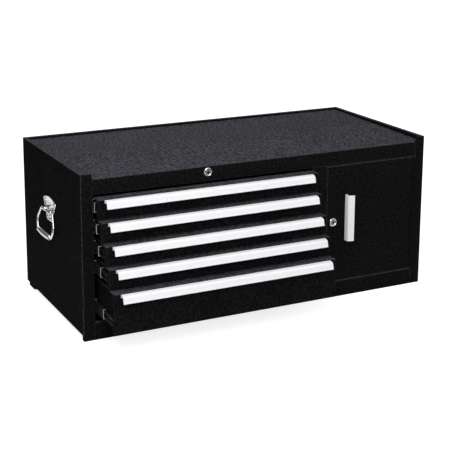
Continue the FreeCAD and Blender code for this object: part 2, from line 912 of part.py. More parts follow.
def handle_plate():
    """A handle's domed plate with the barrel that the bail turns in."""
    back, height = handle_back, handle_height
    face = side_plane(plate_gauge)
    half = [
        (plate_shoulder_half, plate_shoulder_rise),
        (plate_waist_half, 0),
        (plate_bottom_half, -plate_bottom_drop),
    ]
    corners = [place(back + a, height + b, face, "yz") for a, b in half]
    corners += [place(back - a, height + b, face, "yz") for a, b in reversed(half)]
    crown = place(back, height + plate_top_rise, face, "yz")
    arch = Part.Arc(corners[-1], crown, corners[0]).toShape()
    rim = Part.Wire([arch] + Part.makePolygon(corners).Edges)
    plate = Part.Face(rim).extrude(Vector(plate_gauge, 0, 0))
    corner_edges = [edge for edge in plate.Edges if edge.BoundBox.XLength > plate_gauge / 2]
    plate = plate.makeFillet(plate_corner_radius, corner_edges)
    face_edges = [edge for edge in plate.Edges if edge.BoundBox.XMax < side_plane(plate_gauge / 2)]
    plate = plate.makeFillet(plate_gauge * 0.6, face_edges)
    axis_x = side_plane(hinge_stand_off)
    low, high = back - barrel_half, back + barrel_half
    barrel = rod(barrel_radius, Vector(axis_x, low, height), Vector(axis_x, high, height))
    web_half = barrel_radius * 0.8
    web = box(axis_x, side_plane(0), low, high, height - web_half, height + web_half)
    bore_start = Vector(axis_x, low - through, height)
    bore = rod(wire_radius + wire_running, bore_start, Vector(axis_x, high + through, height))
    plate = joined([plate, barrel, web]).cut(bore)
    for y, z in rivet_places():
        hole_start = Vector(side_plane(plate_gauge + through), y, z)
        plate = plate.cut(rod(rivet_radius, hole_start, Vector(side_plane(-through), y, z)))
    return plate


def rivet_places():
    """Where the four rivets of a handle's plate go, as Y and Z."""
    places = []
    for side in (-1, 1):
        places.append((handle_back + side * top_rivet_half, handle_height + top_rivet_rise))
        places.append((handle_back + side * bottom_rivet_half, handle_height - bottom_rivet_drop))
    return places


def lean(shape):
    """Tilts a bail that hangs straight down, so that its grip stands clear of the side."""
    axis = Vector(side_plane(hinge_stand_off), 0, handle_height)
    leaning = shape.copy()
    leaning.rotate(axis, Vector(0, 1, 0), bail_lean)
    return leaning


def handle_bail():
    """A handle's wire bail, from one end in the barrel round to the other."""
    axis_x = side_plane(hinge_stand_off)
    half = [
        (2.0, 0.0),
        (bail_top_half, 0.0),
        (bail_shoulder_half, -bail_shoulder_drop),
        (bail_knee_half, -bail_knee_drop),
        (bail_grip_half, -bail_drop),
    ]
    points = half + [(-a, b) for a, b in reversed(half)]
    points = [(handle_back + a, handle_height + b) for a, b in points]
    bends = [bail_bend, bail_bend * 2, bail_bend, bail_bend]
    edges = path_edges(rounded(points, bends + bends[::-1]), axis_x, "yz")
    spine = Part.Wire(edges)
    start = place(*points[0], axis_x, "yz")
    section = Part.Wire(Part.Edge(Part.Circle(start, Vector(0, 1, 0), wire_radius)))
    return lean(spine.makePipeShell([section], True, False))


def handle_grip():
    """The barrel-shaped sleeve on the bail."""
    axis_x = side_plane(hinge_stand_off)
    height = handle_height - bail_drop
    low, high = handle_back - grip_half, handle_back + grip_half
    bore = wire_radius + wire_running
    start = Vector(axis_x + grip_end_radius, low, height)
    end = Vector(axis_x + grip_end_radius, high, height)
    middle = Vector(axis_x + grip_middle_radius, handle_back, height)
    bulge = Part.Arc(start, middle, end).toShape()
    inner_end, inner_start = Vector(axis_x + bore, high, height), Vector(axis_x + bore, low, height)
    rest = Part.makePolygon([end, inner_end, inner_start, start])
    face = Part.Face(Part.Wire([bulge] + rest.Edges))
    sleeve = face.revolve(Vector(axis_x, 0, height), Vector(0, 1, 0), 360)
    return lean(sleeve)


def handle_rivets():
    """The rivets that hold a handle's plate, through the side panel."""
    rivets = []
    for y, z in rivet_places():
        inner = side_plane(-case_gauge - rivet_head_height)
        plate_face = side_plane(plate_gauge)
        shank = rod(rivet_radius, Vector(plate_face, y, z), Vector(inner, y, z))
        head_face = plate_face - rivet_head_height
        head = rod(rivet_head_radius, Vector(head_face, y, z), Vector(plate_face, y, z))
        rim = [edge for edge in head.Edges if edge.BoundBox.XMax < plate_face - rivet_head_height / 2]
        head = head.makeFillet(rivet_head_height * 0.8, rim)
        tail = rod(rivet_head_radius, Vector(side_plane(-case_gauge), y, z), Vector(inner, y, z))
        rivets.append(joined([shank, head, tail]))
    return rivets


def side_with_holes():
    """The left side with the holes that the handle's rivets pass through."""
    panel = side_panel()
    for y, z in rivet_places():
        start = Vector(side_plane(through), y, z)
        panel = panel.cut(rod(rivet_radius, start, Vector(side_plane(-case_gauge - through), y, z)))
    return panel


def export(name, shapes):
    """Writes one node, which is a solid or a group of them."""
    solids = shapes if isinstance(shapes, list) else [shapes]
    whole = solids[0] if len(solids) == 1 else Part.makeCompound(solids)
    whole.exportStep("parts/" + name + ".step")
    sound = all(len(solid.Solids) == 1 and solid.isValid() for solid in solids)
    volume = round(whole.Volume / 1000, 2)
    print(name, len(solids), "solids", volume, "cm3", "sound" if sound else "NOT SOUND")


def main():
    os.makedirs("parts", exist_ok=True)
    left_side = side_with_holes()
    export("left_side_panel", left_side)
    export("right_side_panel", mirrored(left_side))
    export("back_panel", back_panel())
    export("bottom_panel", bottom_panel())
    export("top_panel", top_panel())
    export("front_bottom_rail", front_bottom_rail())
    export("divider_stile", divider_stile())
    export("divider_panel", divider_panel())
    export("base_front_rail", base_front_rail())
    export("base_rear_rail", base_rear_rail())
    export("slide_uprights", slide_uprights())
    case_members = []
    for index in range(drawer_count):
        number = str(index + 1)
        case_members += slide_pair(index, "case")
        export("drawer_" + number + "_slide_middle", slide_pair(index, "middle"))
        export("drawer_" + number + "_slide_inner", slide_pair(index, "drawer"))
        export("drawer_" + number + "_tray", drawer_tray(index))
        export("drawer_" + number + "_front", drawer_front(index))
        export("drawer_" + number + "_pull", drawer_pull(index))
    export("slide_case_members", case_members)
    export("door_skin", door_skin())
    export("door_back", door_back())
    export("door_pull", door_pull())
    export("hinge_case_leaf", hinge_half(True))
    export("hinge_door_leaf", hinge_half(False))
    export("hinge_pin", hinge_pin())
    export("drawer_lock_barrel", lock_barrel(bay_middle, drawer_lock_height))
    export("drawer_lock_plug", lock_plug(bay_middle, drawer_lock_height))
    export("drawer_lock_rod", drawer_lock_rod())
    export("lock_bar", lock_bar())
    export("lock_bar_hooks", lock_bar_hooks())
    export("lock_bar_guides", lock_bar_guides())
    export("door_lock_barrel", lock_barrel(door_lock_x, door_lock_height))
    export("door_lock_plug", lock_plug(door_lock_x, door_lock_height))
    export("door_lock_cam", door_lock_cam())
    plate, bail, grip, rivets = handle_plate(), handle_bail(), handle_grip(), handle_rivets()
    export("left_handle_plate", plate)
    export("left_handle_bail", bail)
    export("left_handle_grip", grip)
    export("right_handle_plate", mirrored(plate))
    export("right_handle_bail", mirrored(bail))
    export("right_handle_grip", mirrored(grip))
    export("handle_rivets", rivets + [mirrored(rivet) for rivet in rivets])


main()
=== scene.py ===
"""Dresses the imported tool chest: its finishes, the light, the ground that it stands on and the camera."""

import json
import logging
import math
from dataclasses import dataclass, field, replace
from enum import Enum
from typing import Optional, Sequence

import bmesh
import bpy
from bmesh.types import BMesh
from bpy.types import Node, NodeSocket, NodeTree, Object
from mathutils import Matrix, Vector


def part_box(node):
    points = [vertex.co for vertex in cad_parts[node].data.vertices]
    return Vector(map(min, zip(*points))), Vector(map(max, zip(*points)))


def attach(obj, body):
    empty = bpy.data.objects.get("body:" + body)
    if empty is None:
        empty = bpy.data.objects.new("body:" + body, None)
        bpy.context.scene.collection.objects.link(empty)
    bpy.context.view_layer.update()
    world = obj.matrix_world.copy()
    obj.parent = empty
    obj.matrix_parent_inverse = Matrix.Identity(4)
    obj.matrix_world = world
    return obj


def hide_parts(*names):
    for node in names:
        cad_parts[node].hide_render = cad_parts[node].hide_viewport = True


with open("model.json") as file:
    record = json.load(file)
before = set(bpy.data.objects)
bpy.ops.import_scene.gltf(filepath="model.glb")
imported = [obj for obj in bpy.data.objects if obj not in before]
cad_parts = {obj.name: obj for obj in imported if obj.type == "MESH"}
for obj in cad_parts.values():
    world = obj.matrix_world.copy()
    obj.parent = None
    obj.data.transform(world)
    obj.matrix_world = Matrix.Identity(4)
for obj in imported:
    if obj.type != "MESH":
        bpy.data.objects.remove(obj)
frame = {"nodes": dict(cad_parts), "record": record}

log = logging.getLogger("tool_chest")
MM = 0.001
WHITE = (1.0, 1.0, 1.0, 1.0)
BACKWARDS = Vector((0.0, 1.0, 0.0))


def linear(hex_colour: str) -> tuple[float, float, float, float]:
    """Turns an sRGB hex colour into Blender's linear colour.

    Args:
        hex_colour: Six hex digits.

    Returns:
        Red, green, blue and an alpha of 1.
    """
    values = [int(hex_colour[place : place + 2], 16) / 255 for place in (0, 2, 4)]
    turned = [v / 12.92 if v <= 0.04045 else ((v + 0.055) / 1.055) ** 2.4 for v in values]
    return (turned[0], turned[1], turned[2], 1.0)


def feed(made: Node, inputs: dict) -> None:
    """Sets and links what goes into a node.

    Args:
        made: The node.
        inputs: Input name or number to a plain value, or to an output socket that feeds it.
    """
    for name, value in inputs.items():
        if isinstance(value, NodeSocket):
            made.id_data.links.new(value, made.inputs[name])
        else:
            made.inputs[name].default_value = value


def node(tree: NodeTree, kind: str, inputs: Optional[dict] = None, **settings: object) -> Node:
    """Adds a node with its settings, and links what goes into it.

    Args:
        tree: The node tree that it joins.
        kind: The node's type, without the ShaderNode that all their names start with.
        inputs: What goes into it, as feed() takes it.
        settings: The node's own properties.

    Returns:
        The new node.
    """
    made = tree.nodes.new("ShaderNode" + kind)
    for name, value in settings.items():
        setattr(made, name, value)
    feed(made, inputs or {})
    return made


def per_metre(millimetres: float) -> float:
    """The texture scale that repeats a pattern once in so many millimetres."""
    return 1000.0 / millimetres


@dataclass(frozen=True)
class Finish:
    """A surface finish. Each kind below draws its own pattern in dress()."""

    name: str

    def material(self) -> bpy.types.Material:
        """Makes the finish's material, or hands back the one already made."""
        found = bpy.data.materials.get(self.name)
        if found is not None:
            return found
        made = bpy.data.materials.new(self.name)
        made.use_nodes = True
        made.node_tree.nodes.clear()
        shader = node(made.node_tree, "BsdfPrincipled")
        place = node(made.node_tree, "TexCoord").outputs["Object"]
        self.dress(made.node_tree, shader, place)
        node(made.node_tree, "OutputMaterial", {"Surface": shader.outputs["BSDF"]})
        return made

    def dress(self, tree: NodeTree, shader: Node, place: NodeSocket) -> None:
        """Sets the shader and its patterns; a finish overrides this."""
        raise NotImplementedError


@dataclass(frozen=True)
class WrinkleEnamel(Finish):
    """Baked black wrinkle enamel: a dark paint whose skin shrivels into fine ridges as it dries.

    The ridges scatter what falls on them, so upright faces look near black. Faces that look up are painted
    greyer and more flecked, a painted sheen for the bright surround that the ridges reflect at a grazing
    look. Bends and loose edges are painted lighter as fine broken lines: partly paint thinned by use, partly
    a painted highlight.
    """

    upright: str = "0d0d0e"
    upright_fleck: str = "1b1b1c"
    # painted sheen: the grey that faces looking up get, for the bright surround they reflect
    settled: str = "262629"
    settled_fleck: str = "4e4e55"
    # painted highlight on bends and edges, mixed with paint thinned by use
    rubbed: str = "3f3f43"
    looks_up: tuple[float, float] = (0.25, 0.9)  # the normal's Z where the painted sheen starts and is full
    bend_wear: float = 1.0
    bend_turn: tuple[float, float] = (0.985, 0.9)  # the same for a bend: the normal's largest part
    edge_wear: float = 0.6
    edge_turn: tuple[float, float] = (0.985, 0.86)  # the same for a loose edge: the cosine of the turn
    edge_mm: float = 2.0
    hollow_mm: float = 8.0
    hollow_light: tuple[float, float] = (0.7, 0.95)  # how open an inner corner and an outer edge are
    wear_left: float = 0.25  # how much of the painted highlight and thinned paint shows between the flecks
    cloud_mm: float = 180.0
    cloud_gain: tuple[float, float] = (0.8, 1.2)
    ridge_mm: float = 2.4  # the real ridges are under 1 mm apart, which is too fine to show
    ridge_height_mm: float = 0.10
    warp_ratio: float = 3.0  # the warp and the grain are sized as shares of a ridge
    warp_reach: float = 1.2
    grain_ratio: float = 0.55
    grain_share: float = 0.45
    fleck_mm: float = 6.0  # the real flecks are about 1 mm, which is too fine to show
    fleck_cut: tuple[float, float] = (0.44, 0.57)
    roughness: tuple[float, float] = (0.45, 0.7)
    specular: float = 0.0012

    def ridges(self, tree: NodeTree, place: NodeSocket) -> NodeSocket:
        """The height of the wrinkles: warped cells with finer grain on them.

        Args:
            tree: The material's node tree.
            place: Object coordinates.

        Returns:
            The socket that gives the height.
        """
        warp = node(
            tree,
            "TexNoise",
            {"Vector": place, "Scale": per_metre(self.ridge_mm * self.warp_ratio), "Detail": 2.0},
        )
        bend = node(tree, "VectorMath", {0: warp.outputs["Color"], 1: (0.5, 0.5, 0.5)}, operation="SUBTRACT")
        shift = node(
            tree,
            "VectorMath",
            {0: bend.outputs[0], "Scale": self.ridge_mm * MM * self.warp_reach},
            operation="SCALE",
        )
        moved = node(tree, "VectorMath", {0: place, 1: shift.outputs[0]}, operation="ADD")
        cells = node(
            tree,
            "TexVoronoi",
            {"Vector": moved.outputs[0], "Scale": per_metre(self.ridge_mm)},
            feature="SMOOTH_F1",
        )
        grain = node(
            tree,
            "TexNoise",
            {
                "Vector": place,
                "Scale": per_metre(self.ridge_mm * self.grain_ratio),
                "Detail": 3.0,
                "Roughness": 0.6,
            },
        )
        height = node(
            tree,
            "Mix",
            {"Factor": self.grain_share, "A": cells.outputs["Distance"], "B": grain.outputs["Fac"]},
            data_type="FLOAT",
        )
        return height.outputs[0]

    def bends(self, tree: NodeTree) -> NodeSocket:
        """Where a sheet is folded round: its normal turns away from all three of the piece's axes.

        Args:
            tree: The material's node tree.

        Returns:
            The socket that is 1 along a bend and 0 on a flat face.
        """
        normal = node(tree, "TexCoord").outputs["Normal"]
        sizes = node(tree, "VectorMath", {0: normal}, operation="ABSOLUTE")
        parts = node(tree, "SeparateXYZ", {0: sizes.outputs[0]})
        most = parts.outputs["X"]
        for axis in "YZ":
            both = {0: most, 1: parts.outputs[axis]}
            most = node(tree, "Math", both, operation="MAXIMUM").outputs[0]
        start, full = self.bend_turn
        bend = node(
            tree,
            "MapRange",
            {"Value": most, "From Min": start, "From Max": full, "To Max": self.bend_wear},
        )
        return bend.outputs[0]

    def loose_edges(self, tree: NodeTree) -> NodeSocket:
        """The sheared edges of the moving pieces, but not their inner corners, which get no thinned paint and
        no highlight.

        Args:
            tree: The material's node tree.

        Returns:
            The socket that is 1 on an outer edge and 0 on a flat face.
        """
        eased = node(tree, "Bevel", {"Radius": self.edge_mm * MM}, samples=6).outputs["Normal"]
        plain = node(tree, "NewGeometry").outputs["Normal"]
        turned = node(tree, "VectorMath", {0: eased, 1: plain}, operation="DOT_PRODUCT")
        start, full = self.edge_turn
        edge = node(
            tree,
            "MapRange",
            {"Value": turned.outputs["Value"], "From Min": start, "From Max": full, "To Max": self.edge_wear},
        )
        hollow = node(
            tree,
            "AmbientOcclusion",
            {"Distance": self.hollow_mm * MM},
            samples=4,
            only_local=True,
        )
        shut, free = self.hollow_light
        bare = node(tree, "MapRange", {"Value": hollow.outputs["AO"], "From Min": shut, "From Max": free})
        both = {0: edge.outputs[0], 1: bare.outputs[0]}
        return node(tree, "Math", both, operation="MULTIPLY").outputs[0]

    def wear(self, tree: NodeTree, spots: NodeSocket) -> NodeSocket:
        """Where the paint is thinned by use and a highlight is painted on, as broken lines.

        Args:
            tree: The material's node tree.
            spots: The flecks, which break the lines up.

        Returns:
            The socket that is 1 where thinned paint and painted highlight show, and 0 where the paint is
            whole.
        """
        abraded_and_lit = self.bends(tree)
        if self.edge_wear > 0:
            both = {0: abraded_and_lit, 1: self.loose_edges(tree)}
            abraded_and_lit = node(tree, "Math", both, operation="MAXIMUM").outputs[0]
        broken = node(tree, "MapRange", {"Value": spots, "To Min": self.wear_left, "To Max": 1.0})
        return node(tree, "Math", {0: abraded_and_lit, 1: broken.outputs[0]}, operation="MULTIPLY").outputs[0]

    def dress(self, tree: NodeTree, shader: Node, place: NodeSocket) -> None:
        """Wrinkles, flecks, painted highlight and thinned paint on edges, painted sheen on faces that look
        up.
        """
        bump = node(
            tree,
            "Bump",
            {"Height": self.ridges(tree, place), "Distance": self.ridge_height_mm * MM, "Strength": 0.9},
        )
        fleck = node(
            tree,
            "TexNoise",
            {"Vector": place, "Scale": per_metre(self.fleck_mm), "Detail": 3.0, "Roughness": 0.8},
        )
        none, whole = self.fleck_cut
        spots = node(tree, "MapRange", {"Value": fleck.outputs["Fac"], "From Min": none, "From Max": whole})
        normal = node(tree, "NewGeometry").outputs["Normal"]
        facing = node(tree, "SeparateXYZ", {0: normal})
        # painted sheen: faces that look up get a greyer, more flecked colour for the bright surround they
        # reflect
        start, full = self.looks_up
        upward = node(tree, "MapRange", {"Value": facing.outputs["Z"], "From Min": start, "From Max": full})
        dark, grey = (
            node(
                tree,
                "Mix",
                {"Factor": spots.outputs[0], "A": linear(plain), "B": linear(flecked)},
                data_type="RGBA",
            )
            for plain, flecked in ((self.upright, self.upright_fleck), (self.settled, self.settled_fleck))
        )
        paint = node(
            tree,
            "Mix",
            {"Factor": upward.outputs[0], "A": dark.outputs["Result"], "B": grey.outputs["Result"]},
            data_type="RGBA",
        )
        cloud = node(tree, "TexNoise", {"Vector": place, "Scale": per_metre(self.cloud_mm), "Detail": 2.0})
        low, high = self.cloud_gain
        veil = node(tree, "MapRange", {"Value": cloud.outputs["Fac"], "To Min": low, "To Max": high})
        clouded = node(
            tree,
            "VectorMath",
            {0: paint.outputs["Result"], "Scale": veil.outputs[0]},
            operation="SCALE",
        )
        # painted highlight and thinned paint along bends and loose edges
        abraded_and_lit = node(
            tree,
            "Mix",
            {"Factor": self.wear(tree, spots.outputs[0]), "A": clouded.outputs[0], "B": linear(self.rubbed)},
            data_type="RGBA",
        )
        low, high = self.roughness
        rough = node(tree, "MapRange", {"Value": fleck.outputs["Fac"], "To Min": low, "To Max": high})
        inputs = {
            "Base Color": abraded_and_lit.outputs["Result"],
            "Roughness": rough.outputs[0],
            "Normal": bump.outputs["Normal"],
            "Specular IOR Level": self.specular,
        }
        feed(shader, inputs)


@dataclass(frozen=True)
class BrightAluminium(Finish):
    """Extruded aluminium, etched and anodised silver: almost white, with faint draw lines along it.

    Its near-white colour and low metal are partly the etched metal's own light silver, partly a painted
    reflection of the bright surround, which keeps it white even where real metal would mirror the dark
    fronts.
    """

    # near white: the metal's light silver with a painted reflection of the bright surround
    colour: str = "f5f6f8"
    line: str = "e9ebee"
    metal: float = 0.05
    roughness: tuple[float, float] = (0.34, 0.48)
    line_mm: float = 0.9
    line_depth_mm: float = 0.02
    line_share: float = 0.02  # the lines' breadth over their length
    along: str = "X"

    def dress(self, tree: NodeTree, shader: Node, place: NodeSocket) -> None:
        """Draw lines as a noise that is stretched along the extrusion."""
        stretch = {"X": (self.line_share, 1.0, 1.0), "Z": (1.0, 1.0, self.line_share)}[self.along]
        turned = node(tree, "Mapping", {"Vector": place, "Scale": stretch})
        lines = node(
            tree,
            "TexNoise",
            {"Vector": turned.outputs[0], "Scale": per_metre(self.line_mm), "Detail": 3.0, "Roughness": 0.6},
        )
        tone = node(
            tree,
            "Mix",
            {"Factor": lines.outputs["Fac"], "A": linear(self.colour), "B": linear(self.line)},
            data_type="RGBA",
        )
        low, high = self.roughness
        rough = node(tree, "MapRange", {"Value": lines.outputs["Fac"], "To Min": low, "To Max": high})
        bump = node(
            tree,
            "Bump",
            {"Height": lines.outputs["Fac"], "Distance": self.line_depth_mm * MM, "Strength": 0.5},
        )
        inputs = {
            "Base Color": tone.outputs["Result"],
            "Roughness": rough.outputs[0],
            "Normal": bump.outputs["Normal"],
            "Metallic": self.metal,
        }
        feed(shader, inputs)


@dataclass(frozen=True)
class ZincPlate(Finish):
    """Zinc-plated steel in a dark colour with a faint cool and warm mottle; on the slides the dark is painted
    shade.
    """

    # dark colours: on the slides, painted shade for bright zinc in the shadow of the drawer gaps
    cool: str = "3b3f44"
    warm: str = "4a4742"
    metal: float = 0.85
    roughness: tuple[float, float] = (0.3, 0.48)
    mottle_mm: float = 24.0
    mark_mm: float = 1.2
    mark_share: float = 0.05  # the marks' breadth over their length
    mark_depth_mm: float = 0.02

    def dress(self, tree: NodeTree, shader: Node, place: NodeSocket) -> None:
        """A broad colour mottle and rolling marks along the strip."""
        broad = node(tree, "TexNoise", {"Vector": place, "Scale": per_metre(self.mottle_mm), "Detail": 3.0})
        turned = node(tree, "Mapping", {"Vector": place, "Scale": (1.0, self.mark_share, 1.0)})
        marks = node(
            tree,
            "TexNoise",
            {"Vector": turned.outputs[0], "Scale": per_metre(self.mark_mm), "Detail": 2.0},
        )
        colour = node(
            tree,
            "Mix",
            {"Factor": broad.outputs["Fac"], "A": linear(self.cool), "B": linear(self.warm)},
            data_type="RGBA",
        )
        low, high = self.roughness
        rough = node(tree, "MapRange", {"Value": marks.outputs["Fac"], "To Min": low, "To Max": high})
        bump = node(
            tree,
            "Bump",
            {"Height": marks.outputs["Fac"], "Distance": self.mark_depth_mm * MM, "Strength": 0.4},
        )
        inputs = {
            "Base Color": colour.outputs["Result"],
            "Roughness": rough.outputs[0],
            "Normal": bump.outputs["Normal"],
            "Metallic": self.metal,
        }
        feed(shader, inputs)


@dataclass(frozen=True)
class BrightSteel(Finish):
    """Ground and polished bearing steel: small bright points of light on the balls.

    Less metallic and rougher, it is the dull bright line of a sheared end, which scatters what it gets.
    """

    colour: str = "e3e5e8"
    metal: float = 1.0
    roughness: tuple[float, float] = (0.1, 0.32)
    film_mm: float = 2.5

    def dress(self, tree: NodeTree, shader: Node, place: NodeSocket) -> None:
        """A thin film of grease, as patches of higher roughness."""
        film = node(tree, "TexNoise", {"Vector": place, "Scale": per_metre(self.film_mm), "Detail": 2.0})
        low, high = self.roughness
        rough = node(tree, "MapRange", {"Value": film.outputs["Fac"], "To Min": low, "To Max": high})
        inputs = {"Base Color": linear(self.colour), "Roughness": rough.outputs[0], "Metallic": self.metal}
        feed(shader, inputs)


@dataclass(frozen=True)
class ChromePlate(Finish):
    """Decorative chrome over polished steel: a mirror with a slight haze in places."""

    colour: str = "d9dce0"
    roughness: tuple[float, float] = (0.05, 0.18)
    haze_mm: float = 14.0
    wave_mm: float = 9.0
    wave_height_mm: float = 0.04

    def dress(self, tree: NodeTree, shader: Node, place: NodeSocket) -> None:
        """Polishing haze in the roughness, and the faint waves of a buffed surface."""
        haze, wave = (
            node(tree, "TexNoise", {"Vector": place, "Scale": per_metre(size), "Detail": detail})
            for size, detail in ((self.haze_mm, 3.0), (self.wave_mm, 1.0))
        )
        low, high = self.roughness
        rough = node(tree, "MapRange", {"Value": haze.outputs["Fac"], "To Min": low, "To Max": high})
        bump = node(
            tree,
            "Bump",
            {"Height": wave.outputs["Fac"], "Distance": self.wave_height_mm * MM, "Strength": 0.4},
        )
        inputs = {
            "Base Color": linear(self.colour),
            "Roughness": rough.outputs[0],
            "Normal": bump.outputs["Normal"],
            "Metallic": 1.0,
        }
        feed(shader, inputs)


class Surface(Enum):
    """The finishes that the chest's pieces are given."""

    ENAMEL = WrinkleEnamel("black_wrinkle_enamel")
    CASE_ENAMEL = WrinkleEnamel("black_wrinkle_enamel_over_welds", edge_wear=0.0)
    HINGE_ENAMEL = WrinkleEnamel("black_wrinkle_enamel_in_hinge", bend_wear=0.0, edge_wear=0.0)
    PULL = BrightAluminium("bright_anodised_aluminium")
    DOOR_PULL = BrightAluminium("bright_anodised_aluminium_upright", along="Z")
    ZINC = ZincPlate("zinc_painted_dark_as_shade")
    BALL = BrightSteel("polished_bearing_steel")
    CUT = BrightSteel("sheared_zinc_edge", colour="dcdee1", roughness=(0.34, 0.56), metal=0.2)
    CHROME = ChromePlate("chrome_plate")
    # the lock plugs are coloured dark: a painted dark reflection on the chrome plug
    PLUG = ZincPlate("plug_painted_dark_reflection", cool="2b2c2f", warm="333230", roughness=(0.22, 0.4))

    def on(self, piece: Object) -> None:
        """Gives a piece this finish and nothing else."""
        piece.data.materials.clear()
        piece.data.materials.append(self.value.material())


SLOT_SURFACE = {
    "black_enamel": Surface.ENAMEL,
    "bright_aluminium": Surface.PULL,
    "zinc_steel": Surface.ZINC,
    "chrome_plate": Surface.CHROME,
}


def add_object(name: str, data: bpy.types.ID) -> Object:
    """Adds an object to the scene.

    Args:
        name: Its name.
        data: Its mesh, lamp or camera.

    Returns:
        The new object.
    """
    made = bpy.data.objects.new(name, data)
    bpy.context.scene.collection.objects.link(made)
    return made


@dataclass
class Part3D:
    """One mesh in the making, and how it is finished: the base of every piece below."""

    name: str
    body: str
    slot: str
    crease_deg: float = 34.0  # the angle past which an edge stays sharp
    end_on: float = 0.9  # how squarely a cut end faces along Y, as its normal's Y

    def start(self) -> BMesh:
        """An empty mesh."""
        return bmesh.new()

    def finish(
        self,
        shape: BMesh,
        surface: Surface,
        replaces: Sequence[str] = (),
        suffix: str = "",
        cut_ends: bool = False,
    ) -> None:
        """Turns the mesh into an object that rides on its body.

        Args:
            shape: The finished bmesh, in metres, which is freed here.
            surface: The finish that it gets.
            replaces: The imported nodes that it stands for.
            suffix: Added to the piece's name where a class makes several.
            cut_ends: Whether faces that look along Y are bare cut metal.
        """
        bmesh.ops.remove_doubles(shape, verts=shape.verts, dist=1e-6)
        bmesh.ops.recalc_face_normals(shape, faces=shape.faces)
        mesh = bpy.data.meshes.new(self.name + suffix)
        shape.to_mesh(mesh)
        shape.free()
        mesh.shade_smooth()
        mesh.set_sharp_from_angle(angle=math.radians(self.crease_deg))
        made = add_object(self.name + suffix, mesh)
        surface.on(made)
        if cut_ends:
            mesh.materials.append(Surface.CUT.value.material())
            for face in mesh.polygons:
                face.material_index = 1 if abs(face.normal.y) > self.end_on else 0
        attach(made, self.body)
        if replaces:
            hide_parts(*replaces)
        log.info("%s: %d faces", made.name, len(mesh.polygons))


def round_off(shape: BMesh, geometry: Sequence, offset: float, segments: int, affect: str = "EDGES") -> None:
    """Rounds edges or corners.

    Args:
        shape: The mesh that they are on.
        geometry: The edges or the corners.
        offset: How far from them each round starts, in metres.
        segments: The steps of each round.
        affect: Which of the two they are, in Blender's words.
    """
    bmesh.ops.bevel(
        shape,
        geom=geometry,
        offset=offset,
        offset_type="OFFSET",
        segments=segments,
        profile=0.5,
        affect=affect,
        material=-1,
    )


def lathe(
    shape: BMesh,
    profile: Sequence[tuple[float, float]],
    centre: Vector,
    axis: Vector,
    steps: int,
) -> None:
    """Turns a closed profile round an axis.

    Args:
        shape: The mesh that the ring is added to.
        profile: Distance along the axis and radius of each corner, in metres, the last joined to the first.
        centre: The point that distances are counted from.
        axis: The direction of the axis.
        steps: How many sides the ring gets.
    """
    side = axis.orthogonal().normalized()
    ring = [shape.verts.new(centre + axis * along + side * radius) for along, radius in profile]
    edges = [shape.edges.new(pair) for pair in zip(ring, ring[1:] + ring[:1])]
    bmesh.ops.spin(
        shape,
        geom=ring + edges,
        cent=centre,
        axis=axis,
        dvec=(0.0, 0.0, 0.0),
        angle=math.tau,
        steps=steps,
        use_merge=True,
    )


def block(shape: BMesh, low: Sequence[float], high: Sequence[float], bevel: float = 0.0) -> None:
    """Adds a block between two corners, its edges rounded if a bevel is given.

    Args:
        shape: The mesh that it is added to.
        low: Its lowest corner, in metres.
        high: Its highest corner, in metres.
        bevel: The radius of its edges, in metres.
    """
    size = Vector(high) - Vector(low)
    middle = (Vector(high) + Vector(low)) / 2
    place = Matrix.Translation(middle) @ Matrix.Diagonal((size.x, size.y, size.z, 1.0))
    made = bmesh.ops.create_cube(shape, size=1.0, matrix=place)["verts"]
    if bevel > 0.0:
        round_off(shape, list({edge for corner in made for edge in corner.link_edges}), bevel, segments=2)


def shrunk(corners: Sequence[tuple[float, float]], by: float) -> list[tuple[float, float]]:
    """A flat outline with each edge moved inwards.

    Args:
        corners: The outline, clockwise, in millimetres.
        by: How far its edges move.

    Returns:
        The smaller outline's corners.
    """
    made = []
    for before, here, after in zip([corners[-1], *corners], corners, [*corners[1:], corners[0]]):
        into = (Vector(here) - Vector(before)).normalized()
        away = (Vector(after) - Vector(here)).normalized()
        first, second = Vector((into.y, -into.x)), Vector((away.y, -away.x))
        moved = Vector(here) + (first + second) * by / (1.0 + first.dot(second))
        made.append((moved.x, moved.y))
    return made


def rounded(outline: Sequence[Vector], offset: float, segments: int = 5) -> list[Vector]:
    """An outline with its corners rounded.

    Args:
        outline: Its corners, all in one plane.
        offset: How far along the edges each round starts.
        segments: The steps of each round.

    Returns:
        The corners of the rounded outline.
    """
    flat = bmesh.new()
    flat.faces.new([flat.verts.new(corner) for corner in outline])
    round_off(flat, flat.verts[:], offset, segments, affect="VERTICES")
    face = max(flat.faces, key=lambda one: len(one.verts))
    made = [loop.vert.co.copy() for loop in face.loops]
    flat.free()
    return made


def stack(shape: BMesh, rings: Sequence[Sequence[Vector]]) -> None:
    """Adds a closed skin over rings that lie one above another.

    Args:
        shape: The mesh that it is added to.
        rings: The rings in order, with as many corners each; the first and the last are capped.
    """
    loops = []
    for ring in rings:
        made = [shape.verts.new(corner) for corner in ring]
        loops.append([shape.edges.new(pair) for pair in zip(made, made[1:] + made[:1])])
    for lower, upper in zip(loops, loops[1:]):
        bmesh.ops.bridge_loops(shape, edges=lower + upper)
    for end in (loops[0], loops[-1]):
        bmesh.ops.contextual_create(shape, geom=end)


class Side(Enum):
    """Which side of the chest a piece is on, as the sign of its X."""

    LEFT = -1
    RIGHT = 1

    @property
    def word(self) -> str:
        """The side's name in node names."""
        return self.name.lower()


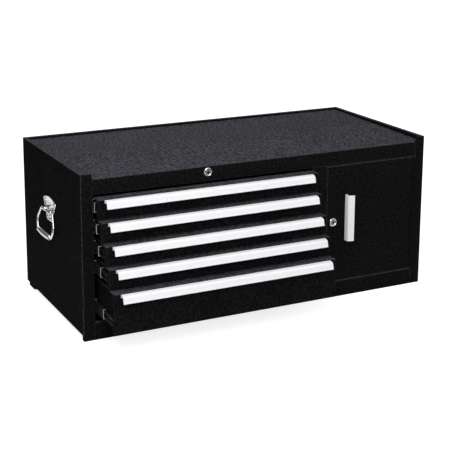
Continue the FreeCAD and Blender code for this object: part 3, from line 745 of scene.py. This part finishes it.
@dataclass
class Handle(Part3D):
    """One swing handle: a pressed plate with rolled knuckles, and a barrel grip on the bail."""

    side: Side = Side.LEFT
    gauge_mm: float = 2.0
    outline_mm: tuple[tuple[float, float], ...] = (
        (0.0, 36.9), (20.0, 34.4), (37.0, 30.0), (49.2, 24.3), (34.6, 1.0), (23.4, -28.6),
    )
    corner_mm: float = 5.0
    corner_least_mm: float = 1.0
    corner_loss: float = 0.7  # how much of an inset its corners lose
    levels_mm: tuple[tuple[float, float], ...] = (  # how far the outline is moved in, and its height
        (0.0, 0.0), (0.0, 1.5), (0.15, 1.85), (0.5, 2.0), (3.4, 2.0), (3.9, 1.85), (5.4, 1.15),
        (7.6, 0.75), (10.5, 0.45), (13.5, 0.35),
    )
    top_rise_mm: float = 37.0
    wire_mm: float = 3.35
    knuckle_mm: float = 5.4
    knuckle_middle_mm: float = 23.0
    knuckle_half_mm: float = 10.0
    knuckle_edge_mm: float = 0.5
    wrap_half_mm: float = 4.8
    wrap_sunk_mm: float = 0.9
    wrap_short_mm: float = 0.3
    wrap_edge_mm: float = 0.6
    stand_off_mm: float = 8.0
    rivet_top_mm: tuple[float, float] = (36.0, 22.0)
    rivet_foot_mm: tuple[float, float] = (13.0, -20.0)
    rivet_mm: tuple[tuple[float, float], ...] = (  # height above the chest's side, and radius
        (-3.2, 0.0), (-3.2, 3.4), (-2.4, 4.2), (-1.25, 4.2), (-1.25, 2.3), (0.35, 2.3),
        (0.35, 4.4), (1.05, 4.4), (1.95, 3.784), (2.65, 2.64), (4.05, 1.32), (4.2, 0.0),
    )
    collar_mm: float = 4.0
    lip_mm: float = 0.6
    grip_end_mm: float = 6.3
    grip_middle_mm: float = 8.5
    grip_steps: int = 14

    def __post_init__(self) -> None:
        """Reads the plate's and the grip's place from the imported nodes."""
        low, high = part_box(self.side.word + "_handle_plate")
        self.wall = min(abs(low.x), abs(high.x))
        self.back = (low.y + high.y) / 2
        self.height = high.z - self.top_rise_mm * MM
        grip_low, grip_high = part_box(self.side.word + "_handle_grip")
        self.grip_centre = (grip_low + grip_high) / 2
        self.grip_half = (grip_high.y - grip_low.y) / 2

    def at(self, out_mm: float, across_mm: float, up_mm: float) -> Vector:
        """A point by its distance out from the chest's side, across from the middle and up from the hinge."""
        x = self.side.value * (self.wall + out_mm * MM)
        return Vector((x, self.back + across_mm * MM, self.height + up_mm * MM))

    def plate(self) -> None:
        """The pressed plate: a raised rim round a shallow dish, with two rolled knuckles for the bail."""
        shape = self.start()
        right = [corner for corner in self.outline_mm if corner[0] > 0.0]
        whole = [(-across, up) for across, up in reversed(right)] + list(self.outline_mm)
        rings = []
        for inset, height in self.levels_mm:
            level = [self.at(height, across, up) for across, up in shrunk(whole, inset)]
            reach = max(self.corner_mm - inset * self.corner_loss, self.corner_least_mm)
            rings.append(rounded(level, reach * MM))
        stack(shape, rings)
        for sign in (-1, 1):
            self.knuckle(shape, sign * self.knuckle_middle_mm)
        packed = self.side.word + "_handle_plate"
        self.finish(shape, Surface.CHROME, replaces=[packed], suffix="_plate")

    def knuckle(self, shape: BMesh, middle_mm: float) -> None:
        """Adds one rolled knuckle: a tube round the bail's wire, wrapped back on to the plate.

        Args:
            shape: The mesh that it is added to.
            middle_mm: Its middle's distance across from the plate's middle.
        """
        inner, outer, chamfer = self.wire_mm * MM, self.knuckle_mm * MM, self.knuckle_edge_mm * MM
        length = 2 * self.knuckle_half_mm * MM
        profile = [
            (0.0, inner),
            (0.0, outer - chamfer),
            (chamfer, outer),
            (length - chamfer, outer),
            (length, outer - chamfer),
            (length, inner),
        ]
        start = middle_mm - self.knuckle_half_mm
        lathe(shape, profile, self.at(self.stand_off_mm, start, 0.0), BACKWARDS, steps=32)
        wrap_end = start + 2 * self.knuckle_half_mm - self.wrap_short_mm
        ends = (
            self.at(self.gauge_mm - self.wrap_sunk_mm, start + self.wrap_short_mm, -self.wrap_half_mm),
            self.at(self.stand_off_mm - self.wire_mm, wrap_end, self.wrap_half_mm),
        )
        low = [min(pair) for pair in zip(*ends)]
        high = [max(pair) for pair in zip(*ends)]
        block(shape, low, high, bevel=self.wrap_edge_mm * MM)

    def rivets(self, shape: BMesh) -> None:
        """Adds the four domed rivets, each with its tail inside the chest.

        Args:
            shape: The mesh that they are added to.
        """
        out = Vector((self.side.value, 0.0, 0.0))
        profile = [(along * MM, radius * MM) for along, radius in self.rivet_mm]
        for across, up in (self.rivet_top_mm, self.rivet_foot_mm):
            for sign in (-1, 1):
                lathe(shape, profile, self.at(0.0, sign * across, up), out, steps=24)

    def grip(self) -> None:
        """The barrel grip: a turned sleeve, fullest in the middle, with a collar at each end."""
        shape = self.start()
        half = self.grip_half
        end, full, bore = self.grip_end_mm * MM, self.grip_middle_mm * MM, self.wire_mm * MM
        collar, lip = self.collar_mm * MM, self.lip_mm * MM
        swell = []
        for step in range(self.grip_steps + 1):
            along = -half + collar + (2 * half - 2 * collar) * step / self.grip_steps
            part = along / (half - collar)
            swell.append((along, end + (full - end) * (1.0 - part * part)))
        profile = [(-half, bore), (-half, end - lip), (-half + lip, end), (-half + collar - 2 * lip, end)]
        profile += [(-half + collar - lip, end - lip)] + swell + [(half - collar + lip, end - lip)]
        profile += [(half - collar + 2 * lip, end), (half - lip, end), (half, end - lip), (half, bore)]
        lathe(shape, profile, self.grip_centre, BACKWARDS, steps=40)
        bail = replace(self, body=self.side.word + "_bail")
        packed = self.side.word + "_handle_grip"
        bail.finish(shape, Surface.CHROME, replaces=[packed], suffix="_grip")

    def build(self) -> None:
        """Makes the plate and the grip."""
        self.plate()
        self.grip()


@dataclass
class Lock(Part3D):
    """One lock: a turned bezel and barrel with its nut, and a bright guard ring on the plug's face."""

    barrel_node: str = "drawer_lock_barrel"
    plug_node: str = "drawer_lock_plug"
    plug_body: str = "drawer_lock"
    bezel_mm: tuple[tuple[float, float], ...] = (  # distance behind the sheet's face, and radius
        (-0.05, 11.0), (-0.9, 11.0), (-1.9, 10.2), (-2.3, 9.3), (-2.3, 8.9), (-2.0, 8.6),
        (-0.9, 7.27),
    )
    barrel_mm: float = 9.4
    barrel_edge_mm: float = 0.5
    length_mm: float = 24.0
    nut_mm: float = 12.0
    nut_thick_mm: float = 3.9
    sheet_mm: float = 1.2
    gap_mm: float = 0.05
    guard_mm: tuple[float, float] = (4.9, 6.1)
    guard_rise_mm: float = 0.25
    guard_edge_mm: float = 0.15

    def middle(self) -> Vector:
        """The lock's axis at the sheet's outer face."""
        low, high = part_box(self.plug_node)
        return Vector(((low.x + high.x) / 2, 0.0, (low.z + high.z) / 2))

    def barrel(self) -> None:
        """The barrel with its domed bezel and flared mouth, and the hexagon nut behind."""
        shape = self.start()
        profile = [
            *self.bezel_mm,
            (self.length_mm, self.bezel_mm[-1][1]),
            (self.length_mm, self.barrel_mm - self.barrel_edge_mm),
            (self.length_mm - self.barrel_edge_mm, self.barrel_mm),
            (-self.gap_mm, self.barrel_mm),
        ]
        lathe(shape, [(a * MM, r * MM) for a, r in profile], self.middle(), BACKWARDS, steps=56)
        reach = self.nut_mm / math.cos(math.pi / 6) * MM
        seat = (self.sheet_mm + self.gap_mm) * MM
        turns = [step * math.pi / 3 for step in range(6)]
        flat = [Vector((reach * math.cos(turn), seat, reach * math.sin(turn))) for turn in turns]
        hexagon = [self.middle() + corner for corner in flat]
        stack(shape, [hexagon, [corner + BACKWARDS * self.nut_thick_mm * MM for corner in hexagon]])
        self.finish(shape, Surface.CHROME, replaces=[self.barrel_node], suffix="_barrel")

    def guard(self) -> None:
        """The thin polished ring round the keyway."""
        shape = self.start()
        inner, outer = self.guard_mm
        rise, edge = self.guard_rise_mm, self.guard_edge_mm
        profile = [(0.0, inner), (-rise, inner + edge), (-rise, outer - edge), (0.0, outer)]
        centre = self.middle()
        centre.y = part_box(self.plug_node)[0].y
        lathe(shape, [(a * MM, r * MM) for a, r in profile], centre, BACKWARDS, steps=40)
        replace(self, body=self.plug_body).finish(shape, Surface.CHROME, suffix="_guard")

    def build(self) -> None:
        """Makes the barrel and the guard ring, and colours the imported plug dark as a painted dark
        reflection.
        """
        self.barrel()
        self.guard()
        Surface.PLUG.on(frame["nodes"][self.plug_node])


@dataclass
class Member:
    """One rolled slide member's section: a web with flanges and small lips, all in millimetres."""

    near: float
    far: float
    half: float
    lip: float
    web_near: bool
    gauge: float = 1.2


@dataclass
class Slides(Part3D):
    """All the ball slides: three nested rolled members a side, with the balls and their cages between."""

    count: int = 5
    outer: Member = field(default_factory=lambda: Member(0.0, 10.8, 17.4, 2.2, True))
    middle: Member = field(default_factory=lambda: Member(1.9, 10.7, 13.0, 0.0, True))
    inner: Member = field(default_factory=lambda: Member(3.8, 12.65, 8.6, 0.0, False))
    fold_mm: float = 1.3
    ball_mm: float = 2.9
    ball_pitch_mm: float = 16.0
    balls: int = 9
    cage_mm: float = 0.5
    cage_half_mm: float = 2.1
    outer_race_mm: tuple[float, float] = (6.0, 60.0)  # how far it is off the wall and behind the front end
    inner_race_mm: tuple[float, float] = (7.4, 2.0)

    def section(
        self,
        shape: BMesh,
        member: Member,
        side: Side,
        front: float,
        back: float,
        height: float,
    ) -> None:
        """Adds one member: its centre line as a few points, drawn out along Y, then given its gauge.

        Args:
            shape: The mesh that it is added to.
            member: The member's section.
            side: Which side of the drawer it is on.
            front: Its front end, in metres.
            back: Its back end, in metres.
            height: The height of its middle, in metres.
        """
        half_gauge = member.gauge / 2
        web = member.near + half_gauge if member.web_near else member.far - half_gauge
        open_end = member.far if member.web_near else member.near
        rise = member.half - half_gauge
        points = [(open_end, rise), (web, rise), (web, -rise), (open_end, -rise)]
        if member.lip > 0.0:
            turned = open_end - half_gauge if member.web_near else open_end + half_gauge
            points = [(turned, rise - member.lip), (turned, rise), (web, rise)]
            points += [(out, -up) for out, up in reversed(points)]
        sheet = bmesh.new()
        wall = self.walls[side]
        places = [(wall - side.value * out * MM, front, height + up * MM) for out, up in points]
        path = [sheet.verts.new(place) for place in places]
        edges = [sheet.edges.new(pair) for pair in zip(path, path[1:])]
        drawn = bmesh.ops.extrude_edge_only(sheet, edges=edges)["geom"]
        moved = [v for v in drawn if isinstance(v, bmesh.types.BMVert)]
        bmesh.ops.translate(sheet, vec=(0.0, back - front, 0.0), verts=moved)
        folds = [edge for edge in sheet.edges if len(edge.link_faces) == 2]
        round_off(sheet, folds, self.fold_mm * MM, segments=3)
        bmesh.ops.recalc_face_normals(sheet, faces=sheet.faces)
        bmesh.ops.solidify(sheet, geom=sheet.faces[:], thickness=member.gauge * MM)
        joined = bpy.data.meshes.new("slide_section")
        sheet.to_mesh(joined)
        sheet.free()
        shape.from_mesh(joined)
        bpy.data.meshes.remove(joined)

    def race(self, balls: BMesh, strips: BMesh, start: Sequence[float]) -> None:
        """Adds a row of balls, and the thin strip that keeps them apart.

        Args:
            balls: The mesh that the balls are added to.
            strips: The mesh that the strip is added to.
            start: The front end of the row's centre line, in metres.
        """
        x, front, height = start
        for number in range(self.balls):
            place = Matrix.Translation((x, front + (number + 0.5) * self.ball_pitch_mm * MM, height))
            bmesh.ops.create_icosphere(balls, subdivisions=2, radius=self.ball_mm / 2 * MM, matrix=place)
        half = Vector((self.cage_half_mm * MM, 0.0, self.cage_mm / 2 * MM))
        end = Vector((x, front + self.balls * self.ball_pitch_mm * MM, height))
        block(strips, Vector(start) - half, end + half)

    def build(self) -> None:
        """Makes the case's members, then each drawer's middle and inner members and its balls."""
        low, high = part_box("slide_case_members")
        self.walls = {Side.LEFT: low.x, Side.RIGHT: high.x}
        outer_gap = (self.outer.half - self.outer.gauge + self.middle.half) / 2 * MM
        inner_gap = (self.middle.half - self.middle.gauge + self.inner.half) / 2 * MM
        pairs = ((outer_gap, self.outer_race_mm), (inner_gap, self.inner_race_mm))
        races = [(sign * gap, *race) for sign in (-1, 1) for gap, race in pairs]
        case_shape = self.start()
        for index in range(self.count):
            number = str(index + 1)
            middle_low, middle_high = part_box("drawer_" + number + "_slide_middle")
            inner_low, inner_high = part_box("drawer_" + number + "_slide_inner")
            height = (middle_low.z + middle_high.z) / 2
            middle_shape, inner_shape = self.start(), self.start()
            balls, strips = self.start(), self.start()
            for side in Side:
                self.section(case_shape, self.outer, side, low.y, high.y, height)
                self.section(middle_shape, self.middle, side, middle_low.y, middle_high.y, height)
                self.section(inner_shape, self.inner, side, inner_low.y, inner_high.y, height)
                for rise, out_mm, back_mm in races:
                    x = self.walls[side] - side.value * out_mm * MM
                    self.race(balls, strips, (x, middle_low.y + back_mm * MM, height + rise))
            stem = "_" + number
            self.body = "slide_" + number
            packed = "drawer_" + number + "_slide_middle"
            self.finish(middle_shape, Surface.ZINC, replaces=[packed], suffix=stem + "_middle", cut_ends=True)
            self.finish(balls, Surface.BALL, suffix=stem + "_balls")
            self.finish(strips, Surface.ZINC, suffix=stem + "_cages")
            self.body = "drawer_" + number
            packed = "drawer_" + number + "_slide_inner"
            self.finish(inner_shape, Surface.ZINC, replaces=[packed], suffix=stem + "_inner", cut_ends=True)
        self.body = "case"
        self.finish(case_shape, Surface.ZINC, replaces=["slide_case_members"], suffix="_case", cut_ends=True)


@dataclass(frozen=True)
class Lamp:
    """One soft rectangular lamp, in metres and watts."""

    name: str
    place: tuple[float, float, float]
    target: tuple[float, float, float]
    size: tuple[float, float]
    power: float

    def hang(self) -> None:
        """Hangs the lamp in its place, facing its target."""
        data = bpy.data.lights.new(self.name, "AREA")
        data.shape = "RECTANGLE"
        data.size, data.size_y = self.size
        data.energy = self.power
        hung = add_object(self.name, data)
        way = Vector(self.place) - Vector(self.target)
        turn = way.to_track_quat("Z", "Y").to_matrix().to_4x4()
        hung.matrix_world = Matrix.Translation(Vector(self.place)) @ turn


LAMPS = (
    Lamp("key", (-1.2, -2.8, 1.9), (0.0, 0.1, 0.2), (2.2, 2.0), 48.0),
    Lamp("edge", (-2.3, -1.1, 0.8), (-0.3, 0.0, 0.2), (0.35, 1.4), 1.3),
    Lamp("fill", (2.4, -1.6, 1.8), (0.0, 0.1, 0.2), (2.0, 2.0), 8.5),
    Lamp("top", (-0.9, -0.7, 2.6), (-0.1, 0.15, 0.4), (1.6, 1.6), 30.0),
    Lamp("back", (1.2, 2.6, 1.8), (0.0, 0.2, 0.3), (1.2, 1.8), 8.5),
)


@dataclass
class Studio:
    """The white ground and the camera, which the lamps above are set up round.

    The camera's lens, place and turns were found from the case's straight edges. Lengths are in metres,
    apart from those that end in mm, and angles in radians.
    """

    lens_mm: float = 93.445
    sensor_mm: float = 36.0
    place_mm: tuple[float, float, float] = (-1401.26, -2554.66, 1125.17)
    azimuth: float = -0.466446
    elevation: float = 0.220502
    roll: float = 0.004991
    shift_y: float = -0.2
    sight: float = 100.0
    ambient: float = 0.38  # the surround's light on what isn't mirrored
    floor_glow: float = 0.8  # lifts the table to plain white for the camera alone
    floor_tone: float = 0.62
    floor_half: float = 9.0
    table_radius: float = 1.3
    table_fade: float = 1.6  # where the mirrored table has gone over into the room, in its radii
    ceiling_from: tuple[float, float] = (0.5, 0.75)  # a ray's Z where the mirrored ceiling starts and is full
    room_glow: float = 0.16

    def camera(self) -> None:
        """Stands the camera where the photograph was taken from."""
        data = bpy.data.cameras.new("camera")
        data.lens = self.lens_mm
        data.sensor_width = self.sensor_mm
        data.shift_y = self.shift_y
        data.clip_end = self.sight
        camera = add_object("camera", data)
        a, e, r = self.azimuth, self.elevation, self.roll
        back = Vector((math.sin(a) * math.cos(e), -math.cos(a) * math.cos(e), math.sin(e)))
        right = Vector((math.cos(a), math.sin(a), 0.0))
        up = back.cross(right)
        turned_right = right * math.cos(r) + up * math.sin(r)
        turned_up = up * math.cos(r) - right * math.sin(r)
        turn = Matrix((turned_right, turned_up, back)).transposed().to_4x4()
        camera.matrix_world = Matrix.Translation(Vector(self.place_mm) * MM) @ turn
        bpy.context.scene.camera = camera

    def mirrored(self, tree: NodeTree) -> NodeSocket:
        """1 for a ray that comes off something glossy or through glass, otherwise 0."""
        path = node(tree, "LightPath")
        return node(
            tree,
            "Math",
            {0: path.outputs["Is Glossy Ray"], 1: path.outputs["Is Transmission Ray"]},
            operation="MAXIMUM",
        ).outputs[0]

    def ground(self) -> None:
        """A table that is plain white but for the chest's shadow, with the dim room past its edge."""
        mesh = bpy.data.meshes.new("floor")
        shape = bmesh.new()
        bmesh.ops.create_grid(shape, x_segments=1, y_segments=1, size=self.floor_half)
        shape.to_mesh(mesh)
        shape.free()
        floor = add_object("floor", mesh)
        material = bpy.data.materials.new("white_ground")
        material.use_nodes = True
        tree = material.node_tree
        tree.nodes.clear()
        place = node(tree, "TexCoord").outputs["Object"]
        reach = node(tree, "VectorMath", {0: place}, operation="LENGTH")
        table = node(
            tree,
            "MapRange",
            {
                "Value": reach.outputs["Value"],
                "From Min": self.table_radius,
                "From Max": self.table_radius * self.table_fade,
                "To Min": 1.0,
                "To Max": self.room_glow,
            },
        )
        path = node(tree, "LightPath")
        tone = self.floor_tone
        diffuse = node(tree, "BsdfDiffuse", {"Color": (tone, tone, tone, 1.0)})
        glow = node(tree, "Emission", {"Color": WHITE, "Strength": self.floor_glow})
        both = node(tree, "AddShader", {0: diffuse.outputs[0], 1: glow.outputs[0]})
        seen = node(
            tree,
            "MixShader",
            {0: path.outputs["Is Camera Ray"], 1: diffuse.outputs[0], 2: both.outputs[0]},
        )
        reflected = node(tree, "Emission", {"Color": WHITE, "Strength": table.outputs[0]})
        pick = node(tree, "MixShader", {0: self.mirrored(tree), 1: seen.outputs[0], 2: reflected.outputs[0]})
        node(tree, "OutputMaterial", {"Surface": pick.outputs[0]})
        mesh.materials.append(material)

    def world(self) -> None:
        """A white surround for the camera; polished metal sees dim walls between white table and ceiling."""
        world = bpy.data.worlds.new("surround")
        bpy.context.scene.world = world
        world.use_nodes = True
        tree = world.node_tree
        tree.nodes.clear()
        way = node(tree, "TexCoord").outputs["Generated"]
        facing = node(tree, "SeparateXYZ", {0: way})
        start, full = self.ceiling_from
        ceiling = node(
            tree,
            "MapRange",
            {
                "Value": facing.outputs["Z"],
                "From Min": start,
                "From Max": full,
                "To Min": self.room_glow,
                "To Max": 1.0,
            },
        )
        path = node(tree, "LightPath")
        plain = node(
            tree,
            "MapRange",
            {"Value": path.outputs["Is Camera Ray"], "To Min": self.ambient, "To Max": 1.0},
        )
        strength = node(
            tree,
            "Mix",
            {"Factor": self.mirrored(tree), "A": plain.outputs[0], "B": ceiling.outputs[0]},
            data_type="FLOAT",
        )
        glow = node(tree, "Background", {"Color": WHITE, "Strength": strength.outputs[0]})
        node(tree, "OutputWorld", {"Surface": glow.outputs[0]})

    def build(self) -> None:
        """Sets up the whole studio."""
        bpy.context.scene.view_settings.view_transform = "Standard"
        self.world()
        self.ground()
        for lamp in LAMPS:
            lamp.hang()
        self.camera()


def dress_nodes(slots: dict[str, str]) -> None:
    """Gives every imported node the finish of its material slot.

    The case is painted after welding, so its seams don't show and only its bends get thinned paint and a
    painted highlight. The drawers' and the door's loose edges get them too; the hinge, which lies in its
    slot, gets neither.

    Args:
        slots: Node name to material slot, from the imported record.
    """
    for name, piece in frame["nodes"].items():
        surface = SLOT_SURFACE[slots[name]]
        if surface is Surface.ENAMEL and "hinge" in name:
            surface = Surface.HINGE_ENAMEL
        elif surface is Surface.ENAMEL and not name.startswith(("drawer_", "door_")):
            surface = Surface.CASE_ENAMEL
        surface.on(piece)
    Surface.DOOR_PULL.on(frame["nodes"]["door_pull"])


def corners(box: tuple[Vector, Vector]) -> list[list[float]]:
    """A box's two corners as plain lists."""
    return [list(corner) for corner in box]


def main() -> None:
    """Builds and dresses everything, then logs how many nodes were dressed."""
    logging.basicConfig(level=logging.INFO)
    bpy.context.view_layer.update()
    slots = {entry["node"]: entry["material_slot"] for entry in frame["record"]["subparts"]}
    dress_nodes(slots)
    rivets = Part3D("handle_rivets_visual", "case", "chrome_plate")
    heads = rivets.start()
    for side in Side:
        handle = Handle(side.word + "_handle_visual", "case", "chrome_plate", side=side)
        handle.build()
        handle.rivets(heads)
    rivets.finish(heads, Surface.CHROME, replaces=["handle_rivets"])
    Lock("drawer_lock_visual", "case", "chrome_plate").build()
    Lock(
        "door_lock_visual",
        "door",
        "chrome_plate",
        barrel_node="door_lock_barrel",
        plug_node="door_lock_plug",
        plug_body="door_lock",
    ).build()
    Slides("slide_visual", "case", "zinc_steel").build()
    Studio().build()
    log.info("dressed %d nodes", len(frame["nodes"]))


if __name__ == "__main__":
    main()
